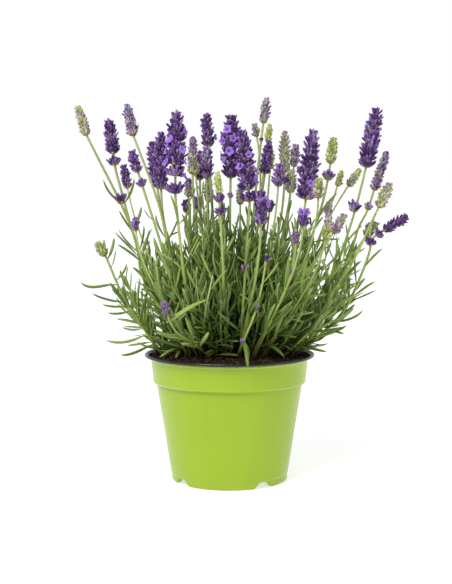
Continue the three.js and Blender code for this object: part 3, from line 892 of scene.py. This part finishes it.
# The tip and the base of each spike, its radius and colour, and for some the colour of the upper half and
# open flowers as (height, degrees from the front towards +X).
SMALL_FLOWERS = [
    ((-99, 74, 279), (-95, 70, 258), 4.6, "purple"),
    ((-79, -58, 232), (-78, -58, 222), 3.2, "purple"),
    ((-34, 92, 289), (-32, 88, 271), 4.0, "green", "green"),
    ((-20, -4, 293), (-20, -4, 266), 5.6, "purple", "violet"),
    ((-20, 112, 268), (-20, 104, 245), 4.4, "budding"),
    ((-41, 98, 246), (-41, 96, 235), 4.6, "purple"),
    ((23, 54, 316), (25, 53, 305), 3.8, "violet", "budding"),
    ((36, 24, 314), (34, 22, 299), 3.4, "green"),
    ((39, 76, 293), (38, 74, 276), 4.0, "green"),
    ((62, 70, 298), (60, 68, 278), 4.6, "violet"),
    ((42, -40, 277), (41, -38, 259), 5.0, "purple"),
    ((74, -52, 265), (74, -50, 249), 5.0, "budding", "green"),
    ((104, 62, 273), (100, 60, 260), 3.6, "green"),
    ((122, 72, 275), (111, 66, 260), 4.2, "budding", "green"),
    ((132, 34, 227), (123.5, 32, 214.5), 5.6, "budding"),
    ((95, -64, 235), (86, -60, 220), 4.6, "violet", "budding"),
    ((81, -82, 236), (78, -78, 216), 3.8, "green", "budding"),
    ((38, 58, 246), (37, 58, 236), 4.2, "purple"),
    ((60, -92, 238), (59, -90, 226), 4.6, "purple", None, [(237, -55), (238, 48), (236, 160)]),
    ((10, 60, 259), (10, 58, 243), 4.0, "budding"),
    ((94, 84, 244), (93, 82, 232), 3.8, "violet"),
    ((-54, -86, 165), (-51, -84, 154), 3.6, "withered"),
    ((-31, 92, 249), (-31, 90, 238), 3.6, "purple"),
    ((-39, 102, 267), (-39, 100, 250), 4.0, "budding", "violet"),
    ((54, -72, 221), (54, -70, 212), 3.4, "withered"),
]
CROWN_SHARE = 0.34              # how far out a stem is rooted, as a share of how far out its spike stands
BULGE_SHARE = 0.6               # and how far out its lower third runs


def flower_path(base, axis):
    """From the soil to the base of a spike, which it meets along the spike's axis."""
    base = np.asarray(base, float)
    foot = np.array([base[0] * CROWN_SHARE, base[1] * CROWN_SHARE, SOIL_CROWN - 2])
    reach = norm(base - foot)
    low = np.array([base[0] * BULGE_SHARE, base[1] * BULGE_SHARE, foot[2] + reach / 3])
    return bezier(foot, low, base - axis * reach / 3, base, 26)


def build_small_flowers():
    for i, (tip, base, *look) in enumerate(SMALL_FLOWERS, start=1):
        axis = unit(np.subtract(tip, base))
        spike = Spike()
        spike.body(base, tip, *look)
        spike.build(f"small_spike_{i:02d}")
        stem, leaves = Patch(), Patch()
        add_flower_stem(stem, leaves, flower_path(base, axis), 4, 1.1, 0.8)
        stem.build(f"small_stem_{i:02d}", STEM, "green_stem")
        leaves.build(f"small_stem_{i:02d}_leaves", LEAF, "leaf")


# ---- leafy shoots ----

# Shoots with a place of their own: the way they run, then their leaves as
# (height on the shoot, tip x, y, z, early and late rise, width, tint).
PLACED_SHOOTS = [
    ([(-12, -16, 108), (-11, -22, 124), (-13, -27, 137), (-14, -32, 151)],
     [(124, -34, -34, 125, 0, 1, 3.2, 0.9), (124, 8, -32, 126, 1, 1, 3.2, 0.95),
      (136, -33, -38, 139, 1, 0, 2.8, 0.9), (138, 4, -36, 151, -1, 2, 2.8, 0.9),
      (121, 3, -40, 122, 1, 1, 2.6, 0.8), (114, -22, -30, 111, 1, 1, 3.4, 0.35),
      (112, 7, -34, 114, 1, 1, 3.4, 0.8), (146, -20, -36, 164, 0, 0, 2.4, 0.9),
      (148, -8, -38, 165, 0, 0, 2.4, 0.9), (130, -26, -30, 133, 2, 1, 2.2, 0.7),
      (131, -1, -38, 134, 2, 1, 2.2, 0.7)]),
    ([(6, -18, 108), (11, -46, 126), (22, -60, 156), (27, -68, 178), (30, -74, 203)],
     [(126, 15, -78, 109.5, 5, 3, 3.4, 0.6), (127, 16, -62, 115, 3, 2, 2.8, 0.6),
      (157, 8, -72, 170, 1, 1, 2.4, 0.8), (178, 40, -74, 196, 0, 0, 2.2, 0.9),
      (196, 35, -78, 200, 1, 0, 1.8, 0.8)]),
    ([(24, -8, 108), (26, -26, 124), (36, -38, 150), (46, -44, 172)],
     [(123, 46, -52, 115, 2, 3, 4, 0.3), (136, 50, -52, 142, 0, -1, 3.2, 0.6),
      (152, 66, -52, 172, -1, 1, 4, 0.4), (150, 14, -50, 164, 1, 1, 3, 0.7),
      (168, 40, -56, 192, 0, 0, 2.6, 0.8), (171, 60, -50, 194, 0, 0, 2.6, 0.8)]),
    ([(-26, -10, 108), (-22, -34, 140), (-18, -58, 166), (-14, -62, 184)],
     [(164, -52, -82, 147, 2, 1, 4.2, 0.95), (150, -44, -46, 160, 1, 1, 3, 0.6),
      (172, -2, -68, 190, 0, 1, 2.8, 0.8), (182, -24, -64, 204, 0, 0, 2.4, 0.9)]),
    ([(-40, -4, 108), (-44, -10, 118), (-48, -16, 134), (-56, -22, 152)],
     [(118, -60, -32, 112, 1, 1, 3.6, 0.8), (115, -46, -36, 112, 1, 1, 3, 0.6),
      (128, -66, -20, 140, 1, 1, 2.8, 0.7), (130, -38, -30, 146, 1, 1, 2.8, 0.6),
      (146, -72, -28, 164, 0, 1, 2.8, 0.8), (148, -54, -34, 172, 0, 0, 2.8, 0.8)]),
    ([(-22, -10, 108), (-26, -24, 128), (-32, -36, 148), (-39, -46, 172)],
     [(150, -48, -48, 172, 0, 0, 1.8, 0.9), (130, -12, -34, 138, 1, 1, 2.2, 0.8)]),
    ([(-34, -14, 108), (-44, -30, 128), (-50, -48, 146), (-54, -60, 156)],
     [(124, -62, -44, 134, 0, 1, 2.8, 0.7), (138, -36, -48, 152, 1, 1, 2.6, 0.7)]),
    ([(44, -14, 108), (58, -20, 122), (74, -22, 138), (92, -24, 158)],
     [(118, 84, -26, 116, 2, 1, 3, 0.5), (122, 72, -40, 116, 1, 0, 2.8, 0.5),
      (132, 96, -20, 136, 1, -1, 3, 0.6), (140, 70, -34, 158, 0, 1, 2.8, 0.6),
      (150, 108, -30, 166, 1, 1, 2.8, 0.7), (152, 86, -36, 176, 0, 0, 2.6, 0.7)]),
]

# Stray buds among the leaves, each a small tuft of calyxes, as (place, radius, colour).
STRAY_BUDS = [((30, -74, 197), 1.8, "purple"), ((22, -62, 155), 2.4, "withered"),
              ((11, -48, 126), 2.4, "withered"), ((51, -64, 185), 1.8, "purple"),
              ((12, -54, 188), 2.4, "purple")]
STRAY_LENGTH = 4.5

SECTORS = 8                     # one for each leafy branch of the frame
FIRST_SECTOR = 22               # degrees from the front to the middle of the first one
SHOOTS = 126
SHOOT_HEIGHT = 139              # of the tallest, above the soil
SHOOT_LEAF = 24, 34             # the least and the greatest length of a shoot's leaves
SHOOT_SPACING = 13              # from one leaf pair to the next
EDGE_RADIUS = 82                # where leaves are palest and greyest, and how far up: lower and inner leaves get a darker green, partly their own and partly painted shade inside the bush
PALE_RISE = 90
FRONT_REACH = 0.64              # how far the shoots lean out at the front and at the left, against 1
LEFT_REACH = 0.87
RIGHT_REACH = 0.06              # and how much farther they lean at the right
LEFT_PAINTED_LIGHT = 0.5                 # how much paler the leaves are made on the left, the side the key lamp lights: painted light
FRONT_FOOT = 0.5                # and how far forward they are rooted
GOLDEN_ANGLE = math.radians(137.508)
BARE_SHARE = 0.2                # about the share of a shoot that is bare above the soil


def shoot_path(turn, reach, height):
    out = level(turn)
    foot = out * (5 + 0.46 * reach * draw(0.75, 1.15)) + UP * (SOIL_CROWN - 2)
    foot[1] *= FRONT_FOOT if foot[1] < 0 else 1
    tip = out * reach + UP * height
    sway = turned(out, UP, pi / 2) * jitter(7)
    rise = height - SOIL_CROWN
    low = foot + out * (0.3 * reach) + UP * 0.33 * rise + sway
    high = tip - out * (0.1 * reach) - UP * 0.36 * rise + sway
    return bezier(foot, low, high, tip, 24)


def add_shoot(stems, leaves, path, length, tint):
    add_stem(stems, path, 1.1, 0.6, draw(0.1, 0.9))
    turn = draw(0, pi)
    bare = BARE_SHARE * draw(0.4, 1.2)
    leafy = norm(np.diff(path, axis=0), axis=1).sum() * (1 - bare)
    pairs = max(3, round(leafy / SHOOT_SPACING))
    for k in range(pairs + 1):
        share = bare + (1 - bare) * (k + jitter(0.2)) / pairs
        point, axis = at_share(path, min(max(share, 0.05), 0.995))
        size = length * (0.8 + 0.2 * sin(pi * min(share, 1))) * (1 - 0.45 * min(share, 1) ** 4)
        lean = 0.78 - 0.46 * share + jitter(0.1)
        # Low and inner leaves get a darker tint: partly their deeper green, partly painted shade inside the
        # bush.
        height = np.clip((point[2] - SOIL_CROWN) / PALE_RISE, 0, 1)
        edge = np.clip(np.hypot(point[0], point[1]) / EDGE_RADIUS, 0, 1)
        add_leaf_pair(leaves, point, axis, turn + k * pi / 2, size, lean,
                      tint * (0.05 + 0.3 * height + 0.75 * edge), 1 if k % 2 == 0 and share < 0.85 else 0)


def build_foliage():
    stems = [Patch() for _ in range(SECTORS)]
    leaves = [Patch() for _ in range(SECTORS)]

    def sector_of(path):
        """The sector in which a shoot's tip stands."""
        degrees = math.degrees(math.atan2(path[-1][0], -path[-1][1])) - FIRST_SECTOR + 180 / SECTORS
        return int(degrees % 360 // (360 / SECTORS))

    for k in range(SHOOTS):
        spread = math.sqrt((k + 0.5) / SHOOTS)
        turn = k * GOLDEN_ANGLE + jitter(0.15)
        sideways = 0.84 + 0.22 * abs(sin(turn))
        reach = (6 + 96 * spread * draw(0.88, 1.08)) * sideways
        reach *= 1 - (1 - FRONT_REACH) * max(cos(turn), 0) - (1 - LEFT_REACH) * max(-sin(turn), 0)
        reach *= 1 + RIGHT_REACH * max(sin(turn), 0)
        dome = 1 - 0.55 * spread ** 2.4
        height = SOIL_CROWN + SHOOT_HEIGHT * dome * draw(0.62, 1.04)
        path = shoot_path(turn, reach, height)
        sector = sector_of(path)
        # Painted light: shoots on the left, where the key lamp falls, get a paler tint.
        tint = draw(0.5, 1.2) + LEFT_PAINTED_LIGHT * max(-sin(turn), 0)
        add_shoot(stems[sector], leaves[sector], path, draw(*SHOOT_LEAF), tint)
    for path, leaf_list in PLACED_SHOOTS:
        path = through(path, 20)
        sector = sector_of(path)
        add_stem(stems[sector], path, 1.15, 0.7, 0.9)
        for leaf in leaf_list:
            add_placed_leaf(leaves[sector], path, *leaf)
    buds = Spike()
    for spot, wide, kind in STRAY_BUDS:
        buds.whorl(np.array(spot, float), unit((0.1, -0.1, 1.0)), wide, STRAY_LENGTH, kind, 1)
    buds.build("stray_buds")
    for i in range(SECTORS):
        node = f"leafy_branch_{i + 1:02d}"
        stems[i].build(f"{node}_shoots", STEM, "green_stem", [node])
        leaves[i].build(f"{node}_leaves", LEAF, "leaf", [node])


# ---- pot ----

POT_AROUND = 288
FOOT_TOP = 6.0
NOTCH_TOP = 5.4
NOTCH_FIRST = 35.5              # degrees from the front, towards +X
NOTCH_WIDE, NOTCH_NARROW = 19.0, 8.5
NOTCHES = 4
FOOT_RADIUS = 50
FOOT_INSIDE = 44                # only what is farther out is raised in a notch


def arc(x, z, radius, start, end, steps):
    angles = np.radians(np.linspace(start, end, steps))
    return [(x + radius * cos(a), z + radius * sin(a)) for a in angles]


def pot_profile():
    """(radius, height) from the middle of the base, up the outside, over the rim and down the inside.

    Also how many of them are green: all of the outside.
    """
    roll = 1.3
    rim_x, rim_z = RIM_RADIUS - roll, POT_HEIGHT - roll
    outside = [
        (0.01, 0), (12, 0), (24.2, 0), *arc(24.2, 0.8, 0.8, -70, 0, 3), (26.2, 5.2),
        *arc(27, 5.2, 0.8, 180, 90, 3), (45.2, 6.0), (46.2, 5.4), (46.3, 1.9),
        *arc(48.1, 1.8, 1.8, 190, 270, 5), *arc(49.4, 1.9, 1.9, 270, 360, 6),
        (51.4, 5.3), (51.45, 5.75), (51.5, 6.0), (51.65, 6.2), (51.85, 6.6), (52.1, 7.6),
        (54.9, 26), (57.8, 45), (61, 64), (63.9, 82.5), (64.35, 85.3),
        *arc(65.2, 85.2, 0.7, 178, 110, 4), (65.9, 86.1), *arc(66.4, 87.7, 1.0, -62, 8, 6),
        (67.6, 91), (68.1, 96), (68.7, 101.2), (69.1, 106.2), (69.3, 106.8),
        *arc(69.3, 107.5, 0.6, -40, 80, 6),
        (69.45, 108.4), (69.8, 108.75), (70.7, 108.95), (72.0, 109.1),
    ]
    rim = arc(rim_x, rim_z, roll, 250, 452, 12)
    inside = [(72.6, 111.55), (72.4, 111.0), (72.3, 109.9), (71.6, 109.55), (69.5, 109.3), (68.9, 108.6),
              (68.3, 106), (67.6, 100), (66.2, 89.5), (65.2, 87.5), (63.4, 85), (62.3, 77),
              (50.4, 8.4), (48.6, 7.3), (27, 7.3), (24.6, 1.3), (0.01, 1.3)]
    return outside + rim + inside, len(outside)


def foot_height(angle):
    """How far the foot is raised at each angle: nothing on the feet, up to its top in a notch."""
    pitch = 2 * pi / NOTCHES
    off = (angle - math.radians(NOTCH_FIRST) + pitch / 2) % pitch - pitch / 2
    across = np.abs(off) * FOOT_RADIUS
    return NOTCH_TOP * (1 - smooth(across, NOTCH_NARROW / 2 - 0.6, NOTCH_WIDE / 2 + 0.6) ** 0.85)


def build_pot():
    profile, green = pot_profile()
    angles = even_angles(POT_AROUND)
    lift = foot_height(angles)
    ring_list = []
    for i, (radius, height) in enumerate(profile):
        tall = np.full(POT_AROUND, float(height))
        if i < green and radius > FOOT_INSIDE and height < FOOT_TOP:
            tall = height + lift * (1 - height / FOOT_TOP)
        ring_list.append(np.stack([radius * np.sin(angles), -radius * np.cos(angles), tall], axis=1))
    faces, _ = ring_faces(len(profile), POT_AROUND)
    mesh = bpy.data.meshes.new("pot_shell")
    mesh.from_pydata((np.concatenate(ring_list) * MM).tolist(), [], [f for f in faces if len(f) == 4])
    marks = [0 if i // POT_AROUND < green - 1 else 1 for i in range(len(mesh.polygons))]
    mesh.polygons.foreach_set("material_index", marks)
    add_piece("pot_shell", mesh, [pot_material(), black_plastic()], ["pot"])


# ---- soil ----

SOIL_AROUND = 220
SOIL_EDGE = 70                  # the surface is rough as far out as this
SOIL_ROUGH, SOIL_LUMPS = 0.55, 0.8
CRUMBS = 900
CRUMB_REACH = 71                # how far out they lie
CRUMB_SIDES = 7
CRUMB_TURN = 0.8976             # radians from one corner of a crumb to the next
CRUMB_PROFILE = ((-0.8, 0.3), (-0.3, 0.9), (0.3, 0.9), (0.8, 0.35))     # (height, width)


def soil_height(x, y):
    """The planted middle is highest, and the surface falls to the wall."""
    return np.interp(np.hypot(x, y), (0, 41, 60, 72),
                     (SOIL_CROWN, SOIL_CROWN - 0.3, SOIL_CROWN - 0.7, SOIL_CROWN - 0.8))


def build_soil():
    """A body down to the floor, closed by a rough surface, with crumbs all over it."""
    soil = Patch()
    angles = even_angles(SOIL_AROUND)
    noise = np.random.default_rng(7)
    rings = [circle(radius, angles, height) for radius, height in (
        (2, 1.8), (22, 1.8), (26, 8), (49, 8), (61, 78), (64.8, 92), (66.2, 99), (67.6, 106),
        (68.4, 109.1), (68.7, 109.6))]
    for radius in np.concatenate([[72.1, 71.2], np.arange(69.7, 4, -1.3), [2.5, 1.0]]):
        shift = noise.normal(0, SOIL_ROUGH, SOIL_AROUND) * min(1, radius / 20)
        lumps = SOIL_LUMPS * np.sin(3.1 * angles + radius) * np.sin(0.35 * radius + 5 * angles)
        level_here = soil_height(radius * np.cos(angles), radius * np.sin(angles))
        rings.append(circle(radius, angles, level_here + (shift + lumps) * (radius < SOIL_EDGE)))
    soil.add(rings)
    corners = np.arange(CRUMB_SIDES) * CRUMB_TURN
    for _ in range(CRUMBS):
        turn = noise.uniform(0, 2 * pi)
        radius = CRUMB_REACH * math.sqrt(noise.uniform(0.02, 0.98))
        x, y = radius * cos(turn), radius * sin(turn)
        size = noise.uniform(0.5, 1.7)
        crumb = [noise.uniform(0.7, 1.25, (CRUMB_SIDES, 1)) * circle(wide, corners, tall)
                 for tall, wide in CRUMB_PROFILE]
        soil.add(np.array(crumb) * size + (x, y, float(soil_height(x, y)) + 0.5))
    soil.build("soil_and_crumbs", soil_material(), "soil", ["potting_soil"])


# ---- stage ----

CAMERA_PLACE = (-0.0031, -1.0737, 0.2501)       # metres
CAMERA_TILT = 4.49              # degrees below level
LENS_MM = 75.35
FRONT_DIM = 0.24                # how bright the world is on the camera's side and overhead, against 1
TOP_DIM = 0.56
LIGHTS = (                      # name, place in metres, size, power
    ("key", (-0.7, -1.1, 1.5), 1.1, 37),
    ("back", (0.3, 1.3, 1.2), 1.0, 6),
    ("fill", (1.1, -0.5, 0.5), 0.9, 3.5),
)
LIGHTS_AIM = (0, 0, 0.17)
FLOOR_RADIUS = 60


def studio_world():
    """White all round the plant, and dimmer overhead and on the camera's side."""
    world = bpy.data.worlds.new("soft_studio")
    world.use_nodes = True
    nodes, links = world.node_tree.nodes, world.node_tree.links
    parts = nodes.new("ShaderNodeSeparateXYZ")
    links.new(nodes.new("ShaderNodeTexCoord").outputs["Generated"], parts.inputs[0])
    factors = []
    for axis, start, end, low, high in ((1, -0.3, 0.5, FRONT_DIM, 1.0), (2, 0.35, 0.9, 1.0, TOP_DIM)):
        graded = nodes.new("ShaderNodeMapRange")
        for socket, value in zip(graded.inputs[1:5], (start, end, low, high)):
            socket.default_value = value
        links.new(parts.outputs[axis], graded.inputs[0])
        factors.append(graded.outputs[0])
    both = nodes.new("ShaderNodeMath")
    both.operation = "MULTIPLY"
    for socket, factor in zip(both.inputs, factors):
        links.new(factor, socket)
    links.new(both.outputs[0], nodes["Background"].inputs["Strength"])
    nodes["Background"].inputs["Color"].default_value = (1, 1, 1, 1)
    return world


def build_stage():
    bpy.ops.mesh.primitive_circle_add(vertices=96, radius=FLOOR_RADIUS, fill_type="NGON")
    floor = bpy.context.object
    floor.name = "studio_floor"
    floor.data.materials.append(floor_material())

    bpy.context.scene.world = studio_world()

    for name, spot, size, power in LIGHTS:
        light = bpy.data.lights.new(name, "AREA")
        light.size, light.energy = size, power
        lamp = new_object(name, light)
        lamp.location = spot
        aim = np.subtract(LIGHTS_AIM, spot)
        lamp.rotation_euler = (math.atan2(math.hypot(aim[0], aim[1]), -aim[2]), 0,
                               math.atan2(aim[1], aim[0]) - pi / 2)

    lens = bpy.data.cameras.new("camera")
    lens.lens = LENS_MM
    camera = new_object("camera", lens)
    camera.location = CAMERA_PLACE
    camera.rotation_euler = (math.radians(90 - CAMERA_TILT), 0, 0)
    bpy.context.scene.camera = camera
    bpy.context.scene.view_settings.view_transform = "Standard"


build_pot()
build_soil()
build_cad_flowers()
build_small_flowers()
build_foliage()
build_stage()
